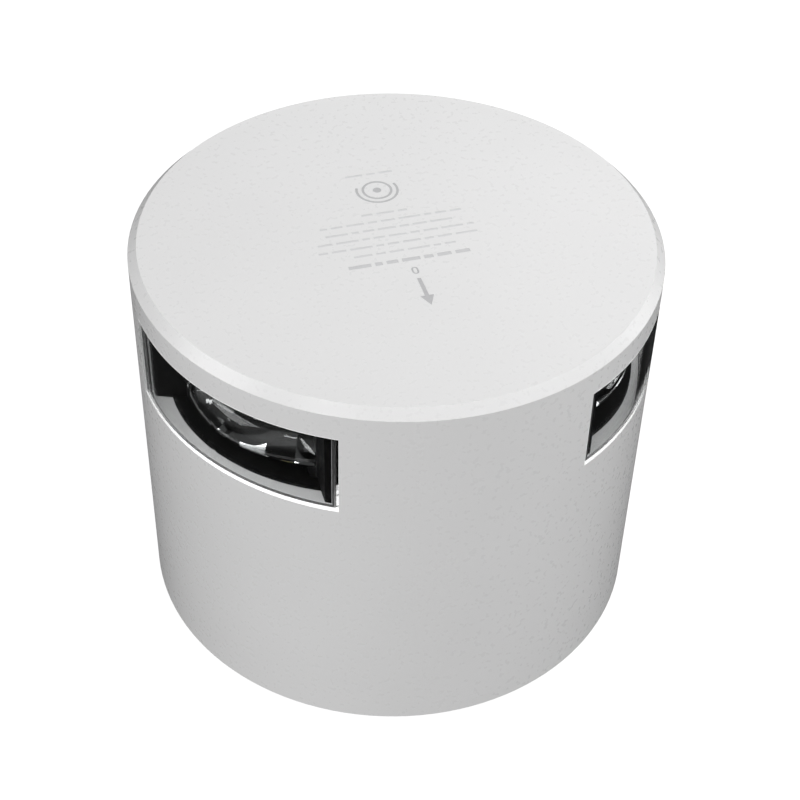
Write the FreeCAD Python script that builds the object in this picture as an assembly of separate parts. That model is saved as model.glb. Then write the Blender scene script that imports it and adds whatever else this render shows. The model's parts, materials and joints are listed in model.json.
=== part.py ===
import FreeCAD, Part

import math
import os

from FreeCAD import Vector

# A sealed LED masthead light for a boat: a round aluminium housing with two flush windows,
# which together light an arc of 225 degrees, closed from below by a base plate.
#
# Millimetres and degrees. The origin is the centre of the base, +Z is up, -Y is dead ahead,
# +X is port and -X is starboard. A bearing is measured from dead ahead, positive to port.
#
# Each of the two light sectors is built once, looking along local +X, and turned to its
# bearing. The sector's light source stands on that local X axis.

# ---------------------------------------------------------------- driving dimensions

BODY_RADIUS = 49.0
BODY_HEIGHT = 79.3
TOP_CHAMFER = 1.7
FOOT_CHAMFER = 0.3
WALL = 5.4
ROOF = 4.0
INNER_RADIUS = BODY_RADIUS - WALL
CEILING = BODY_HEIGHT - ROOF

SECTOR_HALF_ANGLE = 56.25
SECTOR_BEARINGS = {"port": SECTOR_HALF_ANGLE, "starboard": -SECTOR_HALF_ANGLE}
SOURCE_DISTANCE = 26.9
SOURCE_HEIGHT = 61.2

WINDOW_BOTTOM = 55.5
WINDOW_TOP = 72.5
WINDOW_THICK = 1.6
WINDOW_LEDGE = 0.4
WINDOW_GAP = 0.05
SEAL_THICK = 0.3
WINDOW_BACK = BODY_RADIUS - WINDOW_THICK
REBATE_RADIUS = WINDOW_BACK - SEAL_THICK

BASE_THICK = 9.0
BASE_RECESS_RADIUS = 45.2
BASE_GAP = 0.2
BASE_CHAMFER = 0.5
BASE_SCREW_COUNT = 4
BASE_SCREW_CIRCLE = 38.5
BASE_SCREW_SINK = 5.0
BOSS_RADIUS = 5.0
BOSS_TOP = 26.0

SCREW_RADIUS = 2.0
SCREW_HOLE_RADIUS = 2.2
SCREW_HEAD_RADIUS = 3.5
SCREW_HEAD_HEIGHT = 4.0
SCREW_SINK_RADIUS = 3.9
SCREW_TIP_ROOM = 3.0
BASE_SCREW_LENGTH = 14.0
CARRIER_SCREW_HOLE = 7.0

O_RING_SECTION = 1.08
O_RING_GROOVE_DEPTH = 2.0
O_RING_GROOVE_WIDTH = 2.6
O_RING_HEIGHT = 5.0

MOUNT_COUNT = 4
MOUNT_CIRCLE = 30.0
MOUNT_THREAD_RADIUS = 2.1
INSERT_RADIUS = 3.5
INSERT_LENGTH = 7.7
INSERT_SINK = 0.3
INSERT_GRIP_LOW = 3.6
INSERT_GRIP_HIGH = 4.4
INSERT_GRIP_DEPTH = 0.3
INSERT_END = 0.7

ROOF_PAD_RADIUS = 19.0
CARRIER_TOP = 70.3
CARRIER_BOTTOM = 52.0
CARRIER_FACE_HALF = 9.0
CARRIER_SIDE_END = 8.0
CARRIER_BACK_HALF = 12.0
CARRIER_BACK = 20.0
CARRIER_POCKET_RADIUS = 9.0
CARRIER_POCKET_DEPTH = 10.0
CARRIER_SCREW_COUNT = 3
CARRIER_SCREW_CIRCLE = 14.0
CARRIER_SCREW_SEAT = 62.0
CARRIER_SCREW_LENGTH = 14.0

LED_BOARD_THICK = 1.6
LED_BOARD_FRONT = 25.0
LED_BOARD_HALF_WIDTH = 8.0
LED_BOARD_BOTTOM = 48.6
THERMAL_PAD_THICK = 0.5
CARRIER_FACE = LED_BOARD_FRONT - LED_BOARD_THICK - THERMAL_PAD_THICK
LED_SIZE = 3.45
LED_BASE_THICK = 0.6
LED_PITCH = 3.8
LED_DOME_RADIUS = SOURCE_DISTANCE - LED_BOARD_FRONT - LED_BASE_THICK
LED_SCREW_OFFSET = 5.8
LED_SCREW_HEIGHT = 66.4
LED_SCREW_RADIUS = 1.0
LED_SCREW_LENGTH = 6.0
LED_SCREW_HEAD = 1.3

LENS_AXIS = 18.6
LENS_BACK = 16.0
LENS_NOSE = 26.2
LENS_ROUND_RADIUS = 4.4
LENS_HALF_ANGLE = 70.0
LENS_END_INSET = 1.6
HOLDER_GRIP = 0.05

SCREEN_SKIN = 1.0
SCREEN_FLOOR = WINDOW_BOTTOM - 3.0
SCREEN_CEILING = WINDOW_TOP + 0.9
SCREEN_PLATE = 1.0
SCREEN_RADIUS = INNER_RADIUS - 0.3
SCREEN_SPREAD = 1.5
LED_GAP_HALF_WIDTH = 4.4
LED_GAP_HALF_HEIGHT = 2.6
LED_GAP_DEPTH = 4.0
LINER_INSET = WINDOW_LEDGE + WINDOW_GAP
LINER_RADIUS = REBATE_RADIUS - 0.2
LINER_GAP = 0.1
LIP_AXIS = 10.0
LIP_NOSE = 35.6
LIP_LOW = WINDOW_BOTTOM + WINDOW_LEDGE + LINER_GAP
LIP_HIGH = LIP_LOW + 0.6

DRIVER_RADIUS = 32.5
DRIVER_THICK = 1.6
DRIVER_BOTTOM = 44.0
DRIVER_TOP = DRIVER_BOTTOM + DRIVER_THICK
STANDOFF_COUNT = 3
STANDOFF_CIRCLE = 16.5
STANDOFF_ACROSS = 5.5
STUD_RADIUS = 1.5
STUD_LENGTH = 5.0
DRIVER_HOLE_RADIUS = 1.6
DRIVER_SCREW_HEAD = 2.75
DRIVER_SCREW_CAP = 2.0
DRIVER_SCREW_LENGTH = DRIVER_THICK + 4.0
INDUCTOR_SIZE = 11.0
INDUCTOR_HEIGHT = 6.5
INDUCTOR_X = 23.0
CAPACITOR_RADIUS = 4.0
CAPACITOR_HEIGHT = 11.5
CAPACITOR_X = 9.0
CAPACITOR_ROWS = (20.0, -22.0)

LEAD_RADIUS = 0.65
LEAD_SPACING = 4.0
LEAD_START = 29.0
LEAD_END_HEIGHT = 50.4
LEAD_BEND = 2.2

WELL_RADIUS = 11.5
WELL_DEPTH = 23.0
HUB_RADIUS = 15.5
HUB_TOP = 27.0
GLAND_THREAD_RADIUS = 6.0
GLAND_ACROSS = 15.0
GLAND_FLANGE = 4.5
GLAND_WASHER_THICK = 1.0
GLAND_TOP = 34.0
GLAND_BARREL_BOTTOM = 11.0
GLAND_NUT_BOTTOM = 5.0
GLAND_NUT_TOP = 16.5
CABLE_RADIUS = 3.0
CABLE_WAY = 3.5
THREAD_GAP = 0.05

GLAND_SEAT_RADIUS = 5.0
GLAND_LOCK_NUT_HEIGHT = 3.5
GLAND_CLAW_RADIUS = 4.9
GLAND_CLAW_BORE = 4.0
GLAND_CLAW_SLOTS = 3
GLAND_SLOT_HALF_WIDTH = 0.4
GLAND_SLOT_LENGTH = 5.0
GLAND_SEAL_RADIUS = 3.95
GLAND_DOME_RADIUS = 5.6
GLAND_DOME_HEIGHT = 2.5
GLAND_SEAT = WELL_DEPTH - GLAND_WASHER_THICK
GLAND_SHOULDER = GLAND_SEAT - GLAND_FLANGE
GLAND_GRIP_LOW = 8.2
GLAND_GRIP_HIGH = GLAND_SHOULDER - 0.2

TERMINAL_COUNT = 3
TERMINAL_PITCH = 5.0
TERMINAL_Y = 27.5
TERMINAL_LOW = DRIVER_BOTTOM - 8.0

MARK_DEPTH = 0.15
MARK_LEVEL = 0.02
MARK_GAP = 0.02
ARROW_TAIL = -13.9
ARROW_NECK = -18.9
ARROW_TIP = -21.6
ARROW_SHAFT_WIDTH = 0.7
ARROW_HEAD_WIDTH = 2.5
ZERO_Y = -11.6
ZERO_HEIGHT = 2.0
ZERO_WIDTH = 1.2
ZERO_STROKE = 0.28
TITLE_Y = -8.2
TITLE_WIDTH = 22.6
TITLE_HEIGHT = 0.9
FIRST_ROW_Y = -5.3
ROW_PITCH = 2.36
ROW_WIDTHS = (19.0, 31.0, 30.0, 26.0, 27.0, 10.0)
ROW_HEIGHT = 0.5
LAST_ROW_Y = 19.2
LAST_ROW_WIDTH = 9.5
WORD_LENGTHS = (3.3, 1.7, 2.6, 4.1, 1.3, 2.1)
WORD_SPACE = 0.8
SYMBOL_Y = 13.8
SYMBOL_RADIUS = 2.9
SYMBOL_ARC_RADIUS = 4.1
SYMBOL_STROKE = 0.45
SYMBOL_DOT_RADIUS = 0.8

Z_AXIS = Vector(0, 0, 1)
FAR = 80.0


# ---------------------------------------------------------------- small tools


def disc(radius, low, high, x=0.0, y=0.0):
    """An upright round bar between two heights."""
    return Part.makeCylinder(radius, high - low, Vector(x, y, low))


def ring(outer, inner, low, high, x=0.0, y=0.0):
    """An upright tube between two heights."""
    return disc(outer, low, high, x, y).cut(disc(inner, low, high, x, y))


def block(x_low, x_high, half_width, low, high):
    """A box that is symmetric about the local X axis."""
    return Part.makeBox(x_high - x_low, 2 * half_width, high - low, Vector(x_low, -half_width, low))


def box_at(x, y, length, width, low, high):
    """A box centred on x, y."""
    return Part.makeBox(length, width, high - low, Vector(x - length / 2, y - width / 2, low))


def prism(outline, low, high):
    """An upright prism over a closed outline of (x, y) points."""
    points = [Vector(x, y, low) for x, y in outline]
    face = Part.Face(Part.makePolygon(points + points[:1]))
    return face.extrude(Vector(0, 0, high - low))


def hexagon(across, low, high, x=0.0, y=0.0):
    """A hexagonal bar, measured across its flats."""
    corner = across / 2 / math.cos(math.radians(30))
    angles = [math.radians(60 * step) for step in range(6)]
    outline = [(x + corner * math.cos(a), y + corner * math.sin(a)) for a in angles]
    return prism(outline, low, high)


def join(pieces):
    """One solid out of touching pieces."""
    return pieces[0].fuse(pieces[1:]).removeSplitter()


def on_bearing(bearing, radius, z=0.0):
    """The point at a bearing from dead ahead and a radius from the centre."""
    angle = math.radians(bearing)
    return Vector(radius * math.sin(angle), -radius * math.cos(angle), z)


def around(count, first=0.0):
    """Evenly spaced bearings round the whole circle."""
    return [first + 360.0 / count * step for step in range(count)]


def to_sector(shape, bearing):
    """Turns a shape from local +X to a sector's bearing."""
    return shape.rotated(Vector(), Z_AXIS, bearing - 90)


def wedge(offset, low, high):
    """The sector's wedge about local +X, with its sides moved out by offset."""
    half = math.radians(SECTOR_HALF_ANGLE)
    apex = SOURCE_DISTANCE - offset / math.sin(half)
    reach_x = apex + FAR * math.cos(half)
    reach_y = FAR * math.sin(half)
    return prism([(apex, 0), (reach_x, -reach_y), (reach_x, reach_y)], low, high)


def sector_ring(outer, inner, offset, low, high):
    """The part of a tube about the light's axis that lies in the wedge."""
    return ring(outer, inner, low, high).common(wedge(offset, low, high))


def cap_screw(radius, head_radius, head_height, length):
    """A socket cap screw, head down: its head's seat is at z = 0 and its shank points up."""
    tip = radius / 3
    head = disc(head_radius, -head_height, 0)
    shank = disc(radius, 0, length - tip)
    point = Part.makeCone(radius, radius - tip, tip, Vector(0, 0, length - tip))
    socket = hexagon(head_radius * 0.85, -head_height, -head_height * 0.45)
    return join([head, shank, point]).cut(socket)


def save(name, solids):
    """Writes one node, made of one solid or of a group of separate solids."""
    shape = solids[0] if len(solids) == 1 else Part.makeCompound(solids)
    shape.exportStep(os.path.join("parts", name + ".step"))


# ---------------------------------------------------------------- marks on the roof


def mark_bar(x, y, length, width, grow, low, high):
    """A plain bar, lying across the ahead direction."""
    return box_at(x, y, length + 2 * grow, width + 2 * grow, low, high)


def arrow_mark(grow, low, high):
    """An arrow that points dead ahead."""
    shaft_half = ARROW_SHAFT_WIDTH / 2 + grow
    head_half = ARROW_HEAD_WIDTH / 2 + grow
    neck = ARROW_NECK + grow
    outline = [
        (-shaft_half, ARROW_TAIL + grow),
        (shaft_half, ARROW_TAIL + grow),
        (shaft_half, neck),
        (head_half, neck),
        (0, ARROW_TIP - 2 * grow),
        (-head_half, neck),
        (-shaft_half, neck),
    ]
    return prism(outline, low, high)


def zero_mark(grow, low, high):
    """A narrow oval nought, for the zero of the compass card."""
    bow = ZERO_WIDTH / 2
    straight = ZERO_HEIGHT / 2 - bow

    def oval(radius):
        ends = [disc(radius, low, high, 0, ZERO_Y - straight), disc(radius, low, high, 0, ZERO_Y + straight)]
        return join(ends + [box_at(0, ZERO_Y, 2 * radius, 2 * straight, low, high)])

    return oval(bow + grow).cut(oval(bow - ZERO_STROKE - grow))


def sector_symbol(grow, low, high):
    """A plain ring, with a thick arc over the lit sector and a dot in its middle."""
    y = SYMBOL_Y
    circle = ring(SYMBOL_RADIUS + grow, SYMBOL_RADIUS - SYMBOL_STROKE - grow, low, high, 0, y)
    dot = disc(SYMBOL_DOT_RADIUS + grow, low, high, 0, y)
    lit = ring(SYMBOL_ARC_RADIUS + grow, SYMBOL_ARC_RADIUS - SYMBOL_STROKE - grow, low, high, 0, y)
    dark_half = math.radians(180 - 2 * SECTOR_HALF_ANGLE)
    reach = 3 * SYMBOL_ARC_RADIUS
    side = reach * math.sin(dark_half)
    back = y + reach * math.cos(dark_half)
    dark = prism([(0, y), (side, back), (0, y + 2 * reach), (-side, back)], low, high)
    return [circle, dot, lit.cut(dark)]


def word_bars(y, row_width, first, height, grow, low, high):
    """A row of plain dashes in place of words, centred across the ahead direction."""
    words = []
    end = row_width / 2
    place = -end
    index = first
    while end - place >= min(WORD_LENGTHS):
        length = min(WORD_LENGTHS[index % len(WORD_LENGTHS)], end - place)
        words.append(mark_bar(place + length / 2, y, length, height, grow, low, high))
        place += length + WORD_SPACE
        index += 1
    return words


def roof_marks(grow, low, high):
    """Every mark on the roof; grow widens them, for the pockets that they sit in."""
    marks = [arrow_mark(grow, low, high), zero_mark(grow, low, high)]
    marks += word_bars(TITLE_Y, TITLE_WIDTH, 3, TITLE_HEIGHT, grow, low, high)
    for row, row_width in enumerate(ROW_WIDTHS):
        y = FIRST_ROW_Y + ROW_PITCH * row
        marks += word_bars(y, row_width, row, ROW_HEIGHT, grow, low, high)
    marks += word_bars(LAST_ROW_Y, LAST_ROW_WIDTH, 0, ROW_HEIGHT, grow, low, high)
    return marks + sector_symbol(grow, low, high)


# ---------------------------------------------------------------- housing and windows


def window_opening():
    """The cut for one window: a shallow rebate for the pane and a narrower way through."""
    rebate = sector_ring(BODY_RADIUS + 5, REBATE_RADIUS, 0, WINDOW_BOTTOM, WINDOW_TOP)
    low = WINDOW_BOTTOM + WINDOW_LEDGE
    high = WINDOW_TOP - WINDOW_LEDGE
    way = sector_ring(REBATE_RADIUS + 1, INNER_RADIUS - 3, -WINDOW_LEDGE, low, high)
    return rebate.fuse(way)


def housing():
    """The machined cup: wall, roof, screw bosses, window openings and marking pockets."""
    shell = disc(BODY_RADIUS, 0, BODY_HEIGHT)
    rim = [edge for edge in shell.Edges if edge.BoundBox.ZMin > BODY_HEIGHT - 1]
    shell = shell.makeChamfer(TOP_CHAMFER, rim)
    foot = [edge for edge in shell.Edges if edge.BoundBox.ZMax < 1]
    shell = shell.makeChamfer(FOOT_CHAMFER, foot)
    shell = shell.cut([disc(INNER_RADIUS, 0, CEILING), disc(BASE_RECESS_RADIUS, 0, BASE_THICK)])

    pieces = [shell, disc(ROOF_PAD_RADIUS, CARRIER_TOP, CEILING + 1)]
    holes = []
    for bearing in around(BASE_SCREW_COUNT, 45):
        centre = on_bearing(bearing, BASE_SCREW_CIRCLE)
        pieces.append(disc(BOSS_RADIUS, BASE_THICK, BOSS_TOP, centre.x, centre.y))
        web = block(BASE_SCREW_CIRCLE, INNER_RADIUS + 1, BOSS_RADIUS, BASE_THICK, BOSS_TOP)
        pieces.append(to_sector(web, bearing))
        hole_top = BOSS_TOP - SCREW_TIP_ROOM
        holes.append(disc(SCREW_RADIUS + THREAD_GAP, BASE_THICK, hole_top, centre.x, centre.y))
    for bearing in around(CARRIER_SCREW_COUNT):
        centre = on_bearing(bearing, CARRIER_SCREW_CIRCLE)
        hole_top = CARRIER_TOP + CARRIER_SCREW_HOLE
        holes.append(disc(SCREW_RADIUS + THREAD_GAP, CARRIER_TOP, hole_top, centre.x, centre.y))
    for bearing in SECTOR_BEARINGS.values():
        holes.append(to_sector(window_opening(), bearing))
    holes += roof_marks(MARK_GAP, BODY_HEIGHT - MARK_DEPTH, BODY_HEIGHT + 1)
    return join(pieces).cut(holes)


def marking():
    """The paint that fills the marking pockets."""
    return roof_marks(0, BODY_HEIGHT - MARK_DEPTH, BODY_HEIGHT - MARK_LEVEL)


def window():
    """A clear pane, flush with the housing's wall."""
    low = WINDOW_BOTTOM + WINDOW_GAP
    high = WINDOW_TOP - WINDOW_GAP
    return sector_ring(BODY_RADIUS, WINDOW_BACK, -WINDOW_GAP, low, high)


def window_seal():
    """The thin bonding seal between the pane and the ledge round the opening."""
    edge = 2 * WINDOW_GAP
    outer = sector_ring(WINDOW_BACK, REBATE_RADIUS, -edge, WINDOW_BOTTOM + edge, WINDOW_TOP - edge)
    low = WINDOW_BOTTOM + WINDOW_LEDGE
    high = WINDOW_TOP - WINDOW_LEDGE
    return outer.cut(wedge(-WINDOW_LEDGE, low, high))


# ---------------------------------------------------------------- optics and LEDs


def screen():
    """The matt black light screen: a sector box with a lip and liners that reach into the opening."""
    low = SCREEN_FLOOR - SCREEN_PLATE
    high = SCREEN_CEILING + SCREEN_PLATE
    room_radius = SCREEN_RADIUS - SCREEN_SKIN
    outside = disc(SCREEN_RADIUS, low, high).common(wedge(SCREEN_SPREAD + SCREEN_SKIN, low, high))
    room = disc(room_radius, SCREEN_FLOOR, SCREEN_CEILING)
    room = room.common(wedge(SCREEN_SPREAD, SCREEN_FLOOR, SCREEN_CEILING))
    mouth = wedge(-LINER_INSET - SCREEN_SKIN, LIP_HIGH, SCREEN_CEILING)
    behind = block(0, LED_BOARD_FRONT + 0.1, FAR, low - 1, high + 1)
    gap_low = SOURCE_HEIGHT - LED_GAP_HALF_HEIGHT
    gap_high = SOURCE_HEIGHT + LED_GAP_HALF_HEIGHT
    led_gap = block(0, SOURCE_DISTANCE + LED_GAP_DEPTH, LED_GAP_HALF_WIDTH, gap_low, gap_high)
    box = outside.cut([room, mouth, behind, led_gap])

    lip = disc(LIP_NOSE, LIP_LOW, LIP_HIGH, LIP_AXIS, 0).common(wedge(-LINER_INSET, LIP_LOW, LIP_HIGH))
    lip = lip.cut(disc(room_radius, LIP_LOW, LIP_HIGH))
    top = WINDOW_TOP - WINDOW_LEDGE - LINER_GAP
    liners = sector_ring(LINER_RADIUS, room_radius, -LINER_INSET, LIP_LOW, top)
    liners = liners.cut(wedge(-LINER_INSET - SCREEN_SKIN, LIP_LOW, top))
    return join([box, lip, liners])


def focus_lens():
    """A ring lens in front of the source: flat at the back, half round in front."""
    z = SOURCE_HEIGHT
    back = LENS_AXIS + LENS_BACK
    centre = LENS_AXIS + LENS_NOSE - LENS_ROUND_RADIUS
    top = Vector(centre, 0, z + LENS_ROUND_RADIUS)
    nose = Vector(LENS_AXIS + LENS_NOSE, 0, z)
    bottom = Vector(centre, 0, z - LENS_ROUND_RADIUS)
    back_top = Vector(back, 0, top.z)
    back_bottom = Vector(back, 0, bottom.z)
    edges = [
        Part.LineSegment(back_bottom, back_top).toShape(),
        Part.LineSegment(back_top, top).toShape(),
        Part.Arc(top, nose, bottom).toShape(),
        Part.LineSegment(bottom, back_bottom).toShape(),
    ]
    profile = Part.Face(Part.Wire(edges))
    profile.rotate(Vector(LENS_AXIS, 0, 0), Z_AXIS, -LENS_HALF_ANGLE)
    bow = profile.revolve(Vector(LENS_AXIS, 0, 0), Z_AXIS, 2 * LENS_HALF_ANGLE)
    return bow.common(wedge(-LENS_END_INSET, SCREEN_FLOOR, SCREEN_CEILING))


def lens_holders():
    """Two black posts that grip the ends of the ring lens, from floor to ceiling."""
    low = SCREEN_FLOOR
    high = SCREEN_CEILING
    between = ring(LENS_NOSE, LENS_BACK, low, high, LENS_AXIS, 0)
    between = between.common(wedge(SCREEN_SPREAD, low, high))
    between = between.common(disc(SCREEN_RADIUS - SCREEN_SKIN, low, high))
    posts = between.cut(wedge(HOLDER_GRIP - LENS_END_INSET, low, high))
    return posts.Solids


def led_screw_places():
    """The two fixing holes of an LED board, as (offset, height)."""
    return [(-LED_SCREW_OFFSET, LED_SCREW_HEIGHT), (LED_SCREW_OFFSET, LED_SCREW_HEIGHT)]


def bar_along_x(radius, x_low, x_high, y, z):
    """A round bar along local X."""
    return Part.makeCylinder(radius, x_high - x_low, Vector(x_low, y, z), Vector(1, 0, 0))


def led_board():
    """A metal-cored circuit board, upright behind the source."""
    back = LED_BOARD_FRONT - LED_BOARD_THICK
    top = CARRIER_TOP - 0.1
    board = block(back, LED_BOARD_FRONT, LED_BOARD_HALF_WIDTH, LED_BOARD_BOTTOM, top)
    holes = [bar_along_x(1.1, back - 1, LED_BOARD_FRONT + 1, y, z) for y, z in led_screw_places()]
    return board.cut(holes)


def thermal_pad():
    """A soft pad that carries heat from the LED board to the carrier."""
    back = CARRIER_FACE
    front = back + THERMAL_PAD_THICK
    half_width = LED_BOARD_HALF_WIDTH - 0.5
    pad = block(back, front, half_width, CARRIER_BOTTOM + 0.5, CARRIER_TOP - 0.5)
    holes = [bar_along_x(1.3, back - 1, front + 1, y, z) for y, z in led_screw_places()]
    return pad.cut(holes)


def led_places():
    """The offsets of the two LEDs on each board."""
    return (-LED_PITCH / 2, LED_PITCH / 2)


def led_bases():
    """The square ceramic bodies of the LEDs."""
    half = LED_SIZE / 2
    bases = []
    for y in led_places():
        corner = Vector(LED_BOARD_FRONT, y - half, SOURCE_HEIGHT - half)
        bases.append(Part.makeBox(LED_BASE_THICK, LED_SIZE, LED_SIZE, corner))
    return bases


def led_domes():
    """The silicone domes of the LEDs."""
    front = LED_BOARD_FRONT + LED_BASE_THICK
    ahead = block(front, front + 5, 10, SOURCE_HEIGHT - 5, SOURCE_HEIGHT + 5)
    domes = []
    for y in led_places():
        ball = Part.makeSphere(LED_DOME_RADIUS, Vector(front, y, SOURCE_HEIGHT))
        domes.append(ball.common(ahead))
    return domes


def led_screws():
    """The pan-head screws of one LED board, in sector position."""
    front = LED_BOARD_FRONT + LED_SCREW_HEAD
    end = LED_BOARD_FRONT - LED_SCREW_LENGTH
    screws = []
    for y, z in led_screw_places():
        cap = bar_along_x(1.9, LED_BOARD_FRONT, front, y, z)
        shank = bar_along_x(LED_SCREW_RADIUS, end, LED_BOARD_FRONT, y, z)
        slot = Part.makeBox(0.6, 2.6, 0.5, Vector(front - 0.6, y - 1.3, z - 0.25))
        screws.append(join([cap, shank]).cut(slot))
    return screws


def led_leads():
    """The two insulated wires from the driver board up to one LED board."""
    wires = []
    for side in (-1, 1):
        y = side * LEAD_SPACING / 2
        start = Vector(LEAD_START, y, DRIVER_TOP)
        bend_low = Vector(LEAD_START, y, LEAD_END_HEIGHT - LEAD_BEND)
        diagonal = LEAD_BEND * (1 - math.cos(math.radians(45)))
        middle = Vector(LEAD_START - diagonal, y, LEAD_END_HEIGHT - diagonal)
        bend_high = Vector(LEAD_START - LEAD_BEND, y, LEAD_END_HEIGHT)
        end = Vector(LED_BOARD_FRONT, y, LEAD_END_HEIGHT)
        route = Part.Wire(
            [
                Part.LineSegment(start, bend_low).toShape(),
                Part.Arc(bend_low, middle, bend_high).toShape(),
                Part.LineSegment(bend_high, end).toShape(),
            ]
        )
        section = Part.Wire([Part.makeCircle(LEAD_RADIUS, start, Z_AXIS)])
        wires.append(route.makePipeShell([section], True, False))
    return wires


# ---------------------------------------------------------------- carrier and driver


def led_carrier():
    """The aluminium block that holds both LED boards and takes their heat to the roof."""
    half = math.radians(SECTOR_HALF_ANGLE)
    middle = (CARRIER_FACE * math.sin(half), -CARRIER_FACE * math.cos(half))
    along = (CARRIER_FACE_HALF * math.cos(half), CARRIER_FACE_HALF * math.sin(half))
    front = (middle[0] - along[0], middle[1] - along[1])
    side = (middle[0] + along[0], middle[1] + along[1])
    right = [front, side, (side[0], CARRIER_SIDE_END), (CARRIER_BACK_HALF, CARRIER_BACK)]
    left = [(-x, y) for x, y in reversed(right)]
    body = prism(right + left, CARRIER_BOTTOM, CARRIER_TOP)

    pocket_top = CARRIER_BOTTOM + CARRIER_POCKET_DEPTH
    holes = [disc(CARRIER_POCKET_RADIUS, CARRIER_BOTTOM, pocket_top)]
    for bearing in around(CARRIER_SCREW_COUNT):
        centre = on_bearing(bearing, CARRIER_SCREW_CIRCLE)
        holes.append(disc(SCREW_HOLE_RADIUS, CARRIER_BOTTOM, CARRIER_TOP, centre.x, centre.y))
        holes.append(disc(SCREW_SINK_RADIUS, CARRIER_BOTTOM, CARRIER_SCREW_SEAT, centre.x, centre.y))
    for bearing in around(STANDOFF_COUNT, 60):
        centre = on_bearing(bearing, STANDOFF_CIRCLE)
        hole_top = CARRIER_BOTTOM + STUD_LENGTH + 1
        holes.append(disc(STUD_RADIUS + THREAD_GAP, CARRIER_BOTTOM, hole_top, centre.x, centre.y))
    for bearing in SECTOR_BEARINGS.values():
        for y, z in led_screw_places():
            radius = LED_SCREW_RADIUS + THREAD_GAP
            tapped = bar_along_x(radius, CARRIER_FACE - LED_SCREW_LENGTH, CARRIER_FACE + 1, y, z)
            holes.append(to_sector(tapped, bearing))
    return body.cut(holes)


def placed_screws(screw, bearings, circle, seat):
    """Copies of a screw on a circle, all with their seats at one height."""
    return [screw.translated(on_bearing(bearing, circle, seat)) for bearing in bearings]


def carrier_screws():
    """The screws that pull the carrier up against the roof."""
    screw = cap_screw(SCREW_RADIUS, SCREW_HEAD_RADIUS, SCREW_HEAD_HEIGHT, CARRIER_SCREW_LENGTH)
    bearings = around(CARRIER_SCREW_COUNT)
    return placed_screws(screw, bearings, CARRIER_SCREW_CIRCLE, CARRIER_SCREW_SEAT)


def standoffs():
    """Hexagonal spacers that hang the driver board below the carrier."""
    spacers = []
    for bearing in around(STANDOFF_COUNT, 60):
        centre = on_bearing(bearing, STANDOFF_CIRCLE)
        spacer = hexagon(STANDOFF_ACROSS, DRIVER_TOP, CARRIER_BOTTOM, centre.x, centre.y)
        stud_top = CARRIER_BOTTOM + STUD_LENGTH
        stud = disc(STUD_RADIUS, CARRIER_BOTTOM, stud_top, centre.x, centre.y)
        hole_top = DRIVER_TOP + STUD_LENGTH
        tapped = disc(STUD_RADIUS + THREAD_GAP, DRIVER_TOP, hole_top, centre.x, centre.y)
        spacers.append(join([spacer, stud]).cut(tapped))
    return spacers


def driver_board():
    """The round circuit board that holds the LED driver."""
    board = disc(DRIVER_RADIUS, DRIVER_BOTTOM, DRIVER_TOP)
    holes = []
    for bearing in around(STANDOFF_COUNT, 60):
        centre = on_bearing(bearing, STANDOFF_CIRCLE)
        holes.append(disc(DRIVER_HOLE_RADIUS, DRIVER_BOTTOM, DRIVER_TOP, centre.x, centre.y))
    return board.cut(holes)


def driver_board_screws():
    """The screws that fasten the driver board to its spacers, from below."""
    screw = cap_screw(STUD_RADIUS, DRIVER_SCREW_HEAD, DRIVER_SCREW_CAP, DRIVER_SCREW_LENGTH)
    return placed_screws(screw, around(STANDOFF_COUNT, 60), STANDOFF_CIRCLE, DRIVER_BOTTOM)


def inductors():
    """Two shielded power inductors, one for each sector's driver."""
    low = DRIVER_BOTTOM - INDUCTOR_HEIGHT
    blocks = []
    for x in (-INDUCTOR_X, INDUCTOR_X):
        body = box_at(x, 0, INDUCTOR_SIZE, INDUCTOR_SIZE, low, DRIVER_BOTTOM)
        corners = [edge for edge in body.Edges if edge.BoundBox.ZLength > 1]
        body = body.makeChamfer(2.0, corners)
        groove = ring(4.6, 4.0, low, low + 0.5, x, 0)
        blocks.append(body.cut(groove))
    return blocks


def capacitors():
    """Four upright electrolytic capacitors."""
    low = DRIVER_BOTTOM - CAPACITOR_HEIGHT
    waist = CAPACITOR_RADIUS - 0.35
    cans = []
    for x in (-CAPACITOR_X, CAPACITOR_X):
        for y in CAPACITOR_ROWS:
            can = disc(CAPACITOR_RADIUS, low, DRIVER_BOTTOM, x, y)
            can = can.makeFillet(0.6, [edge for edge in can.Edges if edge.BoundBox.ZMax < low + 1])
            crimp = ring(CAPACITOR_RADIUS + 1, waist, DRIVER_BOTTOM - 2.6, DRIVER_BOTTOM - 1.8, x, y)
            cans.append(can.cut(crimp))
    return cans


def driver_chips():
    """The driver's flat packages: a controller and a switch for each sector, and a bridge."""
    chips = []
    for x in (-6.0, 6.0):
        chips.append(box_at(x, 4.0, 5.0, 6.2, DRIVER_BOTTOM - 1.6, DRIVER_BOTTOM))
        chips.append(box_at(x, -6.0, 6.5, 6.5, DRIVER_BOTTOM - 2.3, DRIVER_BOTTOM))
    chips.append(box_at(0, -24.0, 6.0, 4.0, DRIVER_BOTTOM - 2.4, DRIVER_BOTTOM))
    return chips


def terminal_places():
    """The cable cores' terminals, as x positions."""
    middle = (TERMINAL_COUNT - 1) / 2
    return [TERMINAL_PITCH * (step - middle) for step in range(TERMINAL_COUNT)]


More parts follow.
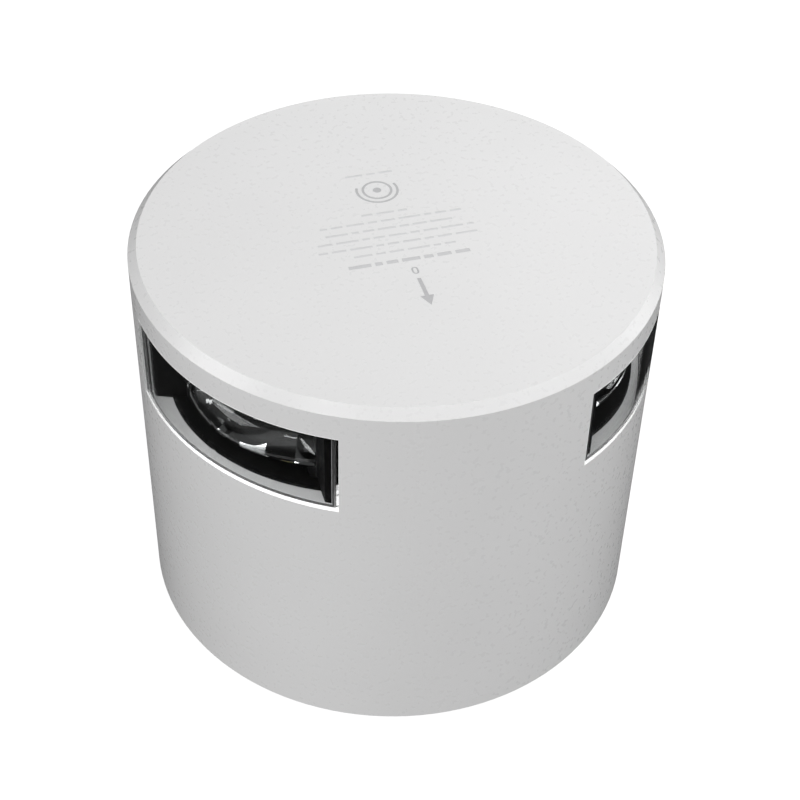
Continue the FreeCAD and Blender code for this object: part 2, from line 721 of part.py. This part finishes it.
def terminal_block():
    """The terminal block for the cable's cores, which enter from the middle of the board."""
    length = TERMINAL_PITCH * TERMINAL_COUNT + 0.4
    body = box_at(0, TERMINAL_Y, length, 7.0, TERMINAL_LOW, DRIVER_BOTTOM)
    holes = []
    for x in terminal_places():
        mouth = Part.makeBox(3.0, 5.0, 3.0, Vector(x - 1.5, TERMINAL_Y - 4.5, DRIVER_BOTTOM - 5.0))
        holes += [mouth, disc(1.7, TERMINAL_LOW, DRIVER_BOTTOM - 4.0, x, TERMINAL_Y)]
    return body.cut(holes)


def terminal_screws():
    """The slotted clamp screws of the terminal block."""
    screws = []
    for x in terminal_places():
        screw = disc(1.6, TERMINAL_LOW + 0.6, DRIVER_BOTTOM - 5.2, x, TERMINAL_Y)
        slot = box_at(x, TERMINAL_Y, 3.2, 0.5, TERMINAL_LOW + 0.6, TERMINAL_LOW + 1.2)
        screws.append(screw.cut(slot))
    return screws


# ---------------------------------------------------------------- base


def base_plate():
    """The bottom cover: a disc with a sealed rim and a deep well for the cable gland."""
    radius = BASE_RECESS_RADIUS - BASE_GAP
    plate = disc(radius, 0, BASE_THICK)
    foot = [edge for edge in plate.Edges if edge.BoundBox.ZMax < 1]
    plate = plate.makeChamfer(BASE_CHAMFER, foot)
    body = join([plate, disc(HUB_RADIUS, BASE_THICK - 1, HUB_TOP)])

    groove_low = O_RING_HEIGHT - O_RING_GROOVE_WIDTH / 2
    groove_high = O_RING_HEIGHT + O_RING_GROOVE_WIDTH / 2
    holes = [
        ring(radius + 1, radius - O_RING_GROOVE_DEPTH, groove_low, groove_high),
        disc(WELL_RADIUS, 0, WELL_DEPTH),
        disc(GLAND_THREAD_RADIUS, WELL_DEPTH, HUB_TOP),
    ]
    for bearing in around(BASE_SCREW_COUNT, 45):
        centre = on_bearing(bearing, BASE_SCREW_CIRCLE)
        holes.append(disc(SCREW_HOLE_RADIUS, 0, BASE_THICK, centre.x, centre.y))
        holes.append(disc(SCREW_SINK_RADIUS, 0, BASE_SCREW_SINK, centre.x, centre.y))
    for bearing in around(MOUNT_COUNT):
        centre = on_bearing(bearing, MOUNT_CIRCLE)
        holes.append(disc(INSERT_RADIUS, 0, INSERT_SINK + INSERT_LENGTH, centre.x, centre.y))
    return body.cut(holes)


def base_o_ring():
    """The rubber ring in the rim's groove."""
    middle = BASE_RECESS_RADIUS - (BASE_GAP + O_RING_GROOVE_DEPTH) / 2
    return Part.makeTorus(middle, O_RING_SECTION, Vector(0, 0, O_RING_HEIGHT))


def base_screws():
    """The socket screws that close the light, sunk into the underside."""
    screw = cap_screw(SCREW_RADIUS, SCREW_HEAD_RADIUS, SCREW_HEAD_HEIGHT, BASE_SCREW_LENGTH)
    bearings = around(BASE_SCREW_COUNT, 45)
    return placed_screws(screw, bearings, BASE_SCREW_CIRCLE, BASE_SCREW_SINK)


def mounting_inserts():
    """The blind threaded inserts that the light is bolted down by."""
    top = INSERT_SINK + INSERT_LENGTH
    inserts = []
    for bearing in around(MOUNT_COUNT):
        centre = on_bearing(bearing, MOUNT_CIRCLE)
        body = disc(INSERT_RADIUS, INSERT_SINK, top, centre.x, centre.y)
        waist = INSERT_RADIUS - INSERT_GRIP_DEPTH
        grip = ring(INSERT_RADIUS + 1, waist, INSERT_GRIP_LOW, INSERT_GRIP_HIGH, centre.x, centre.y)
        thread = disc(MOUNT_THREAD_RADIUS, INSERT_SINK, top - INSERT_END, centre.x, centre.y)
        inserts.append(body.cut([grip, thread]))
    return inserts


# ---------------------------------------------------------------- cable gland


def gland_body():
    """The gland's body: a hexagon with a thread up through the base and a barrel below."""
    thread_radius = GLAND_THREAD_RADIUS - THREAD_GAP
    body = join(
        [
            hexagon(GLAND_ACROSS, GLAND_SHOULDER, GLAND_SEAT),
            disc(thread_radius, GLAND_SEAT, GLAND_TOP),
            disc(thread_radius, GLAND_BARREL_BOTTOM, GLAND_SHOULDER),
        ]
    )
    seat = disc(GLAND_SEAT_RADIUS, GLAND_BARREL_BOTTOM, GLAND_SHOULDER)
    return body.cut([seat, disc(CABLE_WAY, GLAND_BARREL_BOTTOM, GLAND_TOP)])


def gland_washer():
    """The flat seal between the gland's hexagon and the well's ceiling."""
    return ring(GLAND_ACROSS / 2, GLAND_THREAD_RADIUS, GLAND_SEAT, WELL_DEPTH)


def gland_lock_nut():
    """The nut inside the light that holds the gland."""
    nut_top = HUB_TOP + GLAND_LOCK_NUT_HEIGHT
    return hexagon(GLAND_ACROSS, HUB_TOP, nut_top).cut(disc(GLAND_THREAD_RADIUS, HUB_TOP, nut_top))


def gland_claw():
    """The slotted sleeve that presses the rubber seal on to the cable."""
    sleeve = ring(GLAND_CLAW_RADIUS, GLAND_CLAW_BORE, GLAND_GRIP_LOW, GLAND_GRIP_HIGH)
    reach = GLAND_CLAW_RADIUS + 1
    slot_top = GLAND_GRIP_LOW + GLAND_SLOT_LENGTH
    slots = []
    for bearing in around(GLAND_CLAW_SLOTS):
        slot = block(-reach, reach, GLAND_SLOT_HALF_WIDTH, GLAND_GRIP_LOW, slot_top)
        slots.append(to_sector(slot, bearing))
    return sleeve.cut(slots)


def gland_seal():
    """The rubber bush that grips the cable."""
    return ring(GLAND_SEAL_RADIUS, CABLE_RADIUS, GLAND_GRIP_LOW, GLAND_GRIP_HIGH)


def gland_nut():
    """The domed nut at the gland's mouth."""
    dome_top = GLAND_NUT_BOTTOM + GLAND_DOME_HEIGHT
    grip = hexagon(GLAND_ACROSS, dome_top, GLAND_NUT_TOP)
    start = Vector(0, 0, GLAND_NUT_BOTTOM)
    dome = Part.makeCone(GLAND_DOME_RADIUS, GLAND_ACROSS / 2, GLAND_DOME_HEIGHT, start)
    inside = disc(GLAND_THREAD_RADIUS, GLAND_GRIP_LOW - 0.2, GLAND_NUT_TOP)
    mouth = disc(CABLE_WAY, GLAND_NUT_BOTTOM, GLAND_NUT_TOP)
    return join([grip, dome]).cut([inside, mouth])


# ---------------------------------------------------------------- write every node


def sector_nodes(name, bearing):
    """Every node of one sector, turned to its bearing."""
    nodes = {
        "window": [window()],
        "window_seal": [window_seal()],
        "light_screen": [screen()],
        "focus_lens": [focus_lens()],
        "lens_holders": lens_holders(),
        "led_board": [led_board()],
        "thermal_pad": [thermal_pad()],
        "led_bases": led_bases(),
        "led_domes": led_domes(),
        "led_board_screws": led_screws(),
        "led_leads": led_leads(),
    }
    for node, solids in nodes.items():
        save(node + "_" + name, [to_sector(solid, bearing) for solid in solids])


def main():
    os.makedirs("parts", exist_ok=True)
    save("housing", [housing()])
    save("roof_marking", marking())
    for name, bearing in SECTOR_BEARINGS.items():
        sector_nodes(name, bearing)
    save("led_carrier", [led_carrier()])
    save("carrier_screws", carrier_screws())
    save("standoffs", standoffs())
    save("driver_board", [driver_board()])
    save("driver_board_screws", driver_board_screws())
    save("inductors", inductors())
    save("capacitors", capacitors())
    save("driver_chips", driver_chips())
    save("terminal_block", [terminal_block()])
    save("terminal_screws", terminal_screws())
    save("base_plate", [base_plate()])
    save("base_o_ring", [base_o_ring()])
    save("base_screws", base_screws())
    save("mounting_inserts", mounting_inserts())
    save("gland_body", [gland_body()])
    save("gland_washer", [gland_washer()])
    save("gland_lock_nut", [gland_lock_nut()])
    save("gland_claw", [gland_claw()])
    save("gland_seal", [gland_seal()])
    save("gland_nut", [gland_nut()])


main()
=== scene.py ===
import json
import math

import bpy
from mathutils import Matrix, Vector

# A sealed LED masthead light, white, with two flush clear windows. Metres, +Z up, -Y ahead.

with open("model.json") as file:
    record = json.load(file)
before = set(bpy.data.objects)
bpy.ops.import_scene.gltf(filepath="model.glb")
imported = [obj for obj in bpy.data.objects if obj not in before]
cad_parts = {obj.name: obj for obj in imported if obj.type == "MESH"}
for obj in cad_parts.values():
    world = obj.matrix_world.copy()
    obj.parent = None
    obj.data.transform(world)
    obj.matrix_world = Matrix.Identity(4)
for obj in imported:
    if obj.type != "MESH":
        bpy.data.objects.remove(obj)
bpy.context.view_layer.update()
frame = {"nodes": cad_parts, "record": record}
nodes = frame["nodes"]
scene = bpy.context.scene

# ---------------------------------------------------------------- camera

CAMERA_AZIMUTH = -16.9
CAMERA_ELEVATION = 41.996
CAMERA_DISTANCE = 0.33640
CAMERA_TARGET_HEIGHT = 0.0392
CAMERA_ROLL = -1.472
CAMERA_PAN = -0.239
CAMERA_TILT = -0.138
CAMERA_LENS = 76.3

# ---------------------------------------------------------------- studio

SKY_BASE = 0.30
SKY_SIDE = 0.45
SKY_FRONT = -8.0
BACKDROP = 1.0
MIRROR_SKY = 0.75
MIRROR_GROUND = 0.01
MIRROR_HORIZON = 0.3
LENS_DEPTH = 4
LENS_DARK = 0.08
FLOOR_HALF = 1.5
FLOOR_GLOW = 0.82
# Strength of the painted glow on the panes' level cut edges, standing in for their bright edge highlight.
PAINTED_EDGE_GLOW = 0.6
AIM_HEIGHT = 0.06
LIGHTS = (
    # name, azimuth, elevation, distance, size, power
    ("overhead", 72, 60, 0.38, 0.20, 0.66),
    ("left", -94, 35, 1.1, 0.50, 3.50),
    ("right", 96, 20, 1.1, 0.50, 1.55),
    ("fill", -20, 6, 1.1, 0.50, 0.95),
    ("key", -48, 48, 1.1, 0.14, 0.70),
    ("back", 163, 3, 1.1, 0.50, 2.80),
)


def direction(azimuth, elevation):
    """The unit vector towards an azimuth from dead ahead and an elevation, in degrees."""
    a, e = math.radians(azimuth), math.radians(elevation)
    return Vector((math.sin(a) * math.cos(e), -math.cos(a) * math.cos(e), math.sin(e)))


def add_camera():
    back = direction(CAMERA_AZIMUTH, CAMERA_ELEVATION)
    turn = (-back).to_track_quat("-Z", "Y").to_matrix().to_4x4()
    turn = turn @ Matrix.Rotation(math.radians(CAMERA_PAN), 4, "Y")
    turn = turn @ Matrix.Rotation(math.radians(CAMERA_TILT), 4, "X")
    turn = turn @ Matrix.Rotation(math.radians(-CAMERA_ROLL), 4, "Z")
    data = bpy.data.cameras.new("camera")
    data.lens = CAMERA_LENS
    data.clip_start = 0.01
    camera = bpy.data.objects.new("camera", data)
    scene.collection.objects.link(camera)
    place = Vector((0, 0, CAMERA_TARGET_HEIGHT)) + back * CAMERA_DISTANCE
    camera.matrix_world = Matrix.Translation(place) @ turn
    scene.camera = camera


def add_floor():
    """A white floor, which the panes don't mirror."""
    half = FLOOR_HALF
    mesh = bpy.data.meshes.new("floor")
    corners = [(-half, -half, 0), (half, -half, 0), (half, half, 0), (-half, half, 0)]
    mesh.from_pydata(corners, [], [(0, 1, 2, 3)])
    floor = bpy.data.objects.new("floor", mesh)
    scene.collection.objects.link(floor)
    shader = varied("studio_floor", (0.35, 0.35, 0.35), 0.9, change=0.004, patch=0.2)
    shader.set(Emission_Color=(1, 1, 1, 1), Emission_Strength=FLOOR_GLOW)
    mesh.materials.append(shader.material)
    floor.visible_glossy = False
    floor.visible_diffuse = False
    floor.visible_transmission = False


def add_light(name, azimuth, elevation, distance, size, power):
    """A soft square light that looks at the object."""
    back = direction(azimuth, elevation)
    data = bpy.data.lights.new(name, "AREA")
    data.size = size
    data.energy = power
    light = bpy.data.objects.new(name, data)
    scene.collection.objects.link(light)
    light.location = Vector((0, 0, AIM_HEIGHT)) + back * distance
    light.visible_camera = False
    light.rotation_mode = "QUATERNION"
    light.rotation_quaternion = (-back).to_track_quat("-Z", "Y")


def ramped(tree, source, start, stop, low, high, kind="LINEAR"):
    """A value mapped from start..stop to low..high."""
    made = tree.nodes.new("ShaderNodeMapRange")
    made.interpolation_type = kind
    made.inputs["From Min"].default_value = start
    made.inputs["From Max"].default_value = stop
    made.inputs["To Min"].default_value = low
    made.inputs["To Max"].default_value = high
    tree.links.new(source, made.inputs["Value"])
    return made.outputs["Result"]


def chosen(tree, share, first, second):
    """The first value where share is 0 and the second where it is 1."""
    made = tree.nodes.new("ShaderNodeMix")
    tree.links.new(share, made.inputs["Factor"])
    for value, socket in ((first, made.inputs[2]), (second, made.inputs[3])):
        if isinstance(value, (int, float)):
            socket.default_value = value
        else:
            tree.links.new(value, socket)
    return made.outputs[0]


def add_sky():
    """A white studio, brighter in front. Mirrored, its ground is dark; through the lens, all is dark."""
    world = bpy.data.worlds.new("studio")
    scene.world = world
    world.use_nodes = True
    tree = world.node_tree
    background = tree.nodes["Background"]
    background.inputs["Color"].default_value = (1, 1, 1, 1)
    place = tree.nodes.new("ShaderNodeTexCoord").outputs["Generated"]
    ray = tree.nodes.new("ShaderNodeLightPath").outputs

    side = tree.nodes.new("ShaderNodeVectorMath")
    side.operation = "DOT_PRODUCT"
    side.inputs[1].default_value = direction(SKY_FRONT, 0)
    tree.links.new(place, side.inputs[0])
    soft = tree.nodes.new("ShaderNodeMath")
    soft.operation = "MULTIPLY_ADD"
    soft.inputs[1].default_value = SKY_SIDE
    soft.inputs[2].default_value = SKY_BASE
    tree.links.new(side.outputs["Value"], soft.inputs[0])

    parts = tree.nodes.new("ShaderNodeSeparateXYZ")
    tree.links.new(place, parts.inputs[0])
    edge = MIRROR_HORIZON
    mirror = ramped(tree, parts.outputs["Z"], -edge, edge, MIRROR_GROUND, MIRROR_SKY, "SMOOTHSTEP")
    either = chosen(tree, ray["Is Glossy Ray"], soft.outputs[0], mirror)

    shallow = ramped(tree, ray["Transmission Depth"], LENS_DEPTH, LENS_DEPTH + 1, 1, LENS_DARK)
    seen = tree.nodes.new("ShaderNodeMath")
    seen.operation = "MULTIPLY"
    tree.links.new(either, seen.inputs[0])
    tree.links.new(shallow, seen.inputs[1])
    strength = chosen(tree, ray["Is Camera Ray"], seen.outputs[0], BACKDROP)
    tree.links.new(strength, background.inputs["Strength"])


# ---------------------------------------------------------------- patterns on the parts

SECTOR_HALF_ANGLE = 56.25
ROWS_MIDDLE = 0.0006
ROWS_HALF = 0.0066
LAST_ROW_START = 0.018
TITLE_MIDDLE = -0.0082
TITLE_HALF = 0.001
CAN_STRIPE_START = 0.0112
BOARD_PATTERN = 180.0

# ---------------------------------------------------------------- material tools


class Shader:
    """A procedural material: its node tree, its principled shader and short ways to add nodes."""

    def __init__(self, name):
        self.material = bpy.data.materials.new(name)
        self.material.use_nodes = True
        self.tree = self.material.node_tree
        self.surface = self.tree.nodes["Principled BSDF"]
        self.place = self.node("ShaderNodeTexCoord").outputs["Object"]

    def node(self, kind, **values):
        made = self.tree.nodes.new(kind)
        for key, value in values.items():
            setattr(made, key, value)
        return made

    def link(self, source, target):
        self.tree.links.new(source, target)

    def set(self, **values):
        for key, value in values.items():
            self.surface.inputs[key.replace("_", " ")].default_value = value

    def math(self, operation, first, second=0.0):
        """Arithmetic on two values, each a number or a socket."""
        made = self.node("ShaderNodeMath", operation=operation)
        for value, socket in ((first, made.inputs[0]), (second, made.inputs[1])):
            if isinstance(value, (int, float)):
                socket.default_value = value
            else:
                self.link(value, socket)
        return made.outputs[0]

    def noise(self, size, detail=2.0, stretch=(1, 1, 1)):
        """Cloudy noise from 0 to 1 whose blobs are about size metres across."""
        scaled = self.node("ShaderNodeMapping")
        scaled.inputs["Scale"].default_value = stretch
        self.link(self.place, scaled.inputs["Vector"])
        made = self.node("ShaderNodeTexNoise")
        made.inputs["Scale"].default_value = 1 / size
        made.inputs["Detail"].default_value = detail
        self.link(scaled.outputs["Vector"], made.inputs["Vector"])
        return made.outputs["Fac"]

    def spread(self, source, low, high, start=0.3, stop=0.7):
        """A grey value mapped to a new range."""
        made = self.node("ShaderNodeMapRange")
        made.inputs["From Min"].default_value = start
        made.inputs["From Max"].default_value = stop
        made.inputs["To Min"].default_value = low
        made.inputs["To Max"].default_value = high
        self.link(source, made.inputs["Value"])
        return made.outputs["Result"]

    def step(self, source, limit):
        """1 below a limit, 0 above it."""
        return self.math("LESS_THAN", source, limit)

    def blend(self, share, first, second):
        """A colour between two colours, each a tuple or a socket."""
        made = self.node("ShaderNodeMix", data_type="RGBA")
        self.link(share, made.inputs["Factor"])
        for value, socket in ((first, made.inputs[6]), (second, made.inputs[7])):
            if isinstance(value, tuple):
                socket.default_value = (*value, 1)
            else:
                self.link(value, socket)
        return made.outputs[2]

    def axis(self, name):
        """One coordinate, in metres."""
        made = self.node("ShaderNodeSeparateXYZ")
        self.link(self.place, made.inputs[0])
        return made.outputs[name]

    def distance(self, x=0.0, y=0.0):
        """The distance from an upright axis through x, y, in metres."""
        across = self.math("SUBTRACT", self.axis("X"), x)
        along = self.math("SUBTRACT", self.axis("Y"), y)
        square = self.math("ADD", self.math("MULTIPLY", across, across), self.math("MULTIPLY", along, along))
        return self.math("SQRT", square)

    def facing_up(self):
        """How far the surface faces up or down: 0 on an upright wall, 1 on a level face."""
        parts = self.node("ShaderNodeSeparateXYZ")
        self.link(self.node("ShaderNodeNewGeometry").outputs["True Normal"], parts.inputs[0])
        return self.math("ABSOLUTE", parts.outputs["Z"])

    def let_lamps_through(self):
        """Clear plastic casts no shadow."""
        clear = self.node("ShaderNodeBsdfTransparent")
        mixed = self.node("ShaderNodeMixShader")
        self.link(self.node("ShaderNodeLightPath").outputs["Is Shadow Ray"], mixed.inputs["Fac"])
        self.link(self.surface.outputs["BSDF"], mixed.inputs[1])
        self.link(clear.outputs["BSDF"], mixed.inputs[2])
        self.link(mixed.outputs["Shader"], self.tree.nodes["Material Output"].inputs["Surface"])

    def colour(self, source):
        self.link(source, self.surface.inputs["Base Color"])

    def roughness(self, source):
        self.link(source, self.surface.inputs["Roughness"])

    def bump(self, *layers):
        """Raised relief from (height socket, depth in metres) layers."""
        previous = None
        for height, depth in layers:
            made = self.node("ShaderNodeBump")
            made.inputs["Distance"].default_value = depth
            self.link(height, made.inputs["Height"])
            if previous:
                self.link(previous, made.inputs["Normal"])
            previous = made.outputs["Normal"]
        self.link(previous, self.surface.inputs["Normal"])


def varied(name, colour, roughness, metallic=0.0, change=0.06, patch=0.012, grain=0.0004, depth=4e-6):
    """A solid material with cloudy colour and roughness changes and a fine grain."""
    shader = Shader(name)
    shader.set(Metallic=metallic)
    cloud = shader.noise(patch, 4.0)
    darker = tuple(channel * (1 - change) for channel in colour)
    lighter = tuple(min(1.0, channel * (1 + change)) for channel in colour)
    shader.colour(shader.blend(shader.spread(cloud, 0, 1), darker, lighter))
    fine = shader.noise(grain, 3.0)
    shader.roughness(shader.spread(fine, roughness * 0.88, min(1.0, roughness * 1.12)))
    shader.bump((fine, depth))
    return shader


# ---------------------------------------------------------------- materials


def white_paint():
    """Fine powder coat: a faint orange peel and a satin sheen."""
    shader = Shader("white_paint")
    cloud = shader.noise(0.03, 3.0)
    shader.colour(shader.blend(shader.spread(cloud, 0, 1), (0.79, 0.79, 0.79), (0.81, 0.81, 0.81)))
    peel = shader.noise(0.0011, 2.0)
    shader.roughness(shader.spread(peel, 0.26, 0.33))
    shader.bump((peel, 8e-7))
    return shader


def marking_grey():
    """Flat grey marking paint, thinner and paler in the small rows than on the arrow and symbol."""
    shader = Shader("marking_grey")
    along = shader.axis("Y")
    rows = shader.step(shader.math("ABSOLUTE", shader.math("SUBTRACT", along, ROWS_MIDDLE)), ROWS_HALF)
    last_row = shader.step(shader.math("MULTIPLY", along, -1), -LAST_ROW_START)
    pale = shader.math("MAXIMUM", rows, last_row)
    title = shader.step(shader.math("ABSOLUTE", shader.math("SUBTRACT", along, TITLE_MIDDLE)), TITLE_HALF)
    strong = shader.blend(title, (0.47, 0.47, 0.48), (0.58, 0.58, 0.59))
    tone = shader.blend(pale, strong, (0.66, 0.66, 0.67))
    speckle = shader.noise(0.0002, 2.0)
    worn = shader.blend(shader.spread(speckle, 0, 0.18), tone, (0.8, 0.8, 0.8))
    shader.colour(worn)
    shader.roughness(shader.spread(speckle, 0.5, 0.7))
    shader.bump((speckle, 4e-6))
    return shader


def clear_acrylic():
    """A polished pane whose long cut edges are bonded white and opaque, and carry a painted glow: they emit
    white light as a painted edge highlight.
    """
    shader = Shader("clear_acrylic")
    # Mask of the pane's level faces, its long cut edges: opaque white, and given the painted glow below.
    edge = shader.spread(shader.facing_up(), 0, 1, 0.7, 0.9)
    shader.set(IOR=1.49)
    shader.colour(shader.blend(edge, (0.97, 0.98, 0.98), (0.93, 0.93, 0.93)))
    shader.link(shader.math("SUBTRACT", 1, edge), shader.surface.inputs["Transmission Weight"])
    # Painted glow: the level edges emit white light to paint in a bright highlight along them.
    shader.set(Emission_Color=(1, 1, 1, 1))
    shader.link(shader.math("MULTIPLY", edge, PAINTED_EDGE_GLOW), shader.surface.inputs["Emission Strength"])
    cloud = shader.noise(0.008, 2.0)
    shader.roughness(shader.spread(cloud, 0.004, 0.012))
    shader.let_lamps_through()
    return shader


def lens_acrylic():
    """A polished optical moulding."""
    shader = Shader("lens_acrylic")
    shader.set(IOR=1.49, Transmission_Weight=1.0, Base_Color=(0.97, 0.98, 0.98, 1))
    cloud = shader.noise(0.006, 2.0)
    shader.roughness(shader.spread(cloud, 0.004, 0.02))
    shader.let_lamps_through()
    return shader


def matt_black():
    """Moulded light screen: nearly black, with a coarse mould texture that breaks up its sheen."""
    shader = Shader("matt_black")
    mould = shader.noise(0.0005, 3.0)
    cloud = shader.noise(0.004, 3.0)
    shader.colour(shader.blend(shader.spread(cloud, 0, 1), (0.002, 0.002, 0.002), (0.004, 0.004, 0.004)))
    shader.set(Specular_IOR_Level=0.08)
    shader.roughness(shader.spread(mould, 0.48, 0.72))
    shader.bump((mould, 5e-5))
    return shader


def turned(name, colour, roughness, pitch=0.00025, depth=3e-6, stain=None):
    """Metal turned about the Z axis: fine rings, a changing sheen and a few handling stains."""
    shader = Shader(name)
    shader.set(Metallic=1.0)
    combined = shader.node("ShaderNodeCombineXYZ")
    shader.link(shader.distance(), combined.inputs["X"])
    shader.link(shader.axis("Z"), combined.inputs["Z"])
    rings = shader.node("ShaderNodeTexNoise")
    rings.inputs["Scale"].default_value = 1 / pitch
    rings.inputs["Detail"].default_value = 3.0
    shader.link(combined.outputs["Vector"], rings.inputs["Vector"])
    cloud = shader.noise(0.009, 4.0)
    darker = tuple(channel * 0.86 for channel in colour)
    shader.colour(shader.blend(shader.spread(cloud, 0, 1, 0.4, 0.75), colour, stain or darker))
    smooth = shader.spread(rings.outputs["Fac"], roughness * 0.75, roughness * 1.25)
    dull = shader.spread(cloud, 0.0, 0.08, 0.45, 0.75)
    shader.roughness(shader.math("ADD", smooth, dull))
    shader.bump((rings.outputs["Fac"], depth))
    return shader


def milled_aluminium():
    """Milled faces: straight fine tool marks along one direction."""
    shader = varied("plain_aluminium", (0.72, 0.73, 0.74), 0.34, 1.0, change=0.05)
    marks = shader.noise(0.0012, 2.0, (9.0, 0.6, 9.0))
    shader.roughness(shader.spread(marks, 0.24, 0.44))
    shader.bump((marks, 5e-6))
    return shader


def circuit_board(name, mask, trace):
    """A circuit board: solder mask with paler copper tracks under it and small tinned vias."""
    shader = Shader(name)
    bricks = shader.node("ShaderNodeTexBrick", offset=0.5, squash=0.6, squash_frequency=3)
    shader.link(shader.place, bricks.inputs["Vector"])
    bricks.inputs["Scale"].default_value = BOARD_PATTERN
    bricks.inputs["Mortar Size"].default_value = 0.05
    bricks.inputs["Mortar Smooth"].default_value = 0.2
    cells = shader.node("ShaderNodeTexVoronoi", feature="F1")
    shader.link(shader.place, cells.inputs["Vector"])
    cells.inputs["Scale"].default_value = BOARD_PATTERN * 0.8
    via = shader.spread(cells.outputs["Distance"], 1, 0, 0.07, 0.10)
    copper = shader.blend(bricks.outputs["Fac"], mask, trace)
    shader.colour(shader.blend(via, copper, (0.62, 0.62, 0.60)))
    shader.link(via, shader.surface.inputs["Metallic"])
    cloud = shader.noise(0.003, 3.0)
    shader.roughness(shader.spread(cloud, 0.28, 0.42))
    shader.bump((bricks.outputs["Fac"], 2e-5), (cloud, 4e-6))
    return shader


def wire_insulation():
    """Red insulation on one wire of each pair, black on the other."""
    shader = Shader("wire_insulation")
    sideways = shader.math("MULTIPLY", shader.axis("Y"), shader.math("SIGN", shader.axis("X")))
    half = math.radians(SECTOR_HALF_ANGLE)
    across = shader.math(
        "ADD",
        shader.math("MULTIPLY", shader.axis("X"), math.cos(half)),
        shader.math("MULTIPLY", sideways, math.sin(half)),
    )
    red = shader.step(across, 0.0)
    cloud = shader.noise(0.001, 3.0)
    rosy = shader.blend(shader.spread(cloud, 0, 1), (0.42, 0.025, 0.02), (0.34, 0.02, 0.018))
    shader.colour(shader.blend(red, (0.02, 0.02, 0.02), rosy))
    shader.roughness(shader.spread(cloud, 0.38, 0.5))
    shader.bump((cloud, 5e-6))
    return shader


def capacitor_can():
    """A bare aluminium can with a black stripe on its end, over the negative lead."""
    shader = varied("capacitor_can", (0.66, 0.67, 0.69), 0.26, 1.0, change=0.03)
    outer = shader.math("ABSOLUTE", shader.axis("X"))
    stripe = shader.math("SUBTRACT", 1, shader.step(outer, CAN_STRIPE_START))
    shader.colour(shader.blend(stripe, (0.66, 0.67, 0.69), (0.015, 0.015, 0.015)))
    shader.link(shader.math("SUBTRACT", 1, stripe), shader.surface.inputs["Metallic"])
    return shader


def phosphor_silicone():
    """Clear silicone over yellow phosphor."""
    shader = varied("phosphor_silicone", (0.95, 0.86, 0.45), 0.18, change=0.05, patch=0.001)
    shader.set(Subsurface_Weight=0.25, Subsurface_Scale=0.0004, Coat_Weight=0.6, Coat_Roughness=0.05)
    return shader


MATERIALS = {
    "white_paint": white_paint,
    "marking_grey": marking_grey,
    "clear_acrylic": clear_acrylic,
    "black_seal": lambda: varied("black_seal", (0.07, 0.07, 0.07), 0.5),
    "matt_black": matt_black,
    "lens_acrylic": lens_acrylic,
    "black_plastic": lambda: varied("black_plastic", (0.012, 0.012, 0.012), 0.35, depth=1e-5),
    "led_board_mask": lambda: circuit_board("led_board_mask", (0.025, 0.025, 0.028), (0.05, 0.05, 0.055)),
    "thermal_rubber": lambda: varied("thermal_rubber", (0.45, 0.47, 0.50), 0.8, grain=0.0002),
    "led_ceramic": lambda: varied("led_ceramic", (0.86, 0.86, 0.84), 0.4, change=0.03),
    "phosphor_silicone": phosphor_silicone,
    "stainless_steel": lambda: varied("stainless_steel", (0.62, 0.62, 0.61), 0.26, 1.0, 0.08, 0.004),
    "wire_insulation": wire_insulation,
    "plain_aluminium": milled_aluminium,
    "green_board": lambda: circuit_board("green_board", (0.02, 0.13, 0.06), (0.05, 0.24, 0.11)),
    "ferrite_grey": lambda: varied("ferrite_grey", (0.13, 0.13, 0.13), 0.6, change=0.12, grain=0.0002),
    "capacitor_can": capacitor_can,
    "chip_black": lambda: varied("chip_black", (0.03, 0.03, 0.03), 0.5, change=0.1, grain=0.0002),
    "terminal_green": lambda: varied("terminal_green", (0.06, 0.32, 0.14), 0.32, change=0.04),
    "anodised_aluminium": lambda: turned("anodised_aluminium", (0.60, 0.61, 0.62), 0.34),
    "black_rubber": lambda: varied("black_rubber", (0.025, 0.025, 0.025), 0.65, change=0.2, depth=1e-5),
    "nickel_plated_brass": lambda: turned(
        "nickel_plated_brass", (0.66, 0.64, 0.59), 0.2, stain=(0.60, 0.52, 0.38)
    ),
    "grey_nylon": lambda: varied("grey_nylon", (0.55, 0.56, 0.56), 0.45, change=0.04),
}


def dress_nodes():
    """Gives every CAD node the material of its slot in the record."""
    made = {}
    for entry in frame["record"]["subparts"]:
        slot = entry["material_slot"]
        if slot not in made:
            made[slot] = MATERIALS[slot]().material
        mesh = nodes[entry["node"]].data
        mesh.materials.clear()
        mesh.materials.append(made[slot])


add_camera()
add_sky()
for light in LIGHTS:
    add_light(*light)
add_floor()
dress_nodes()
scene.view_settings.view_transform = "Standard"
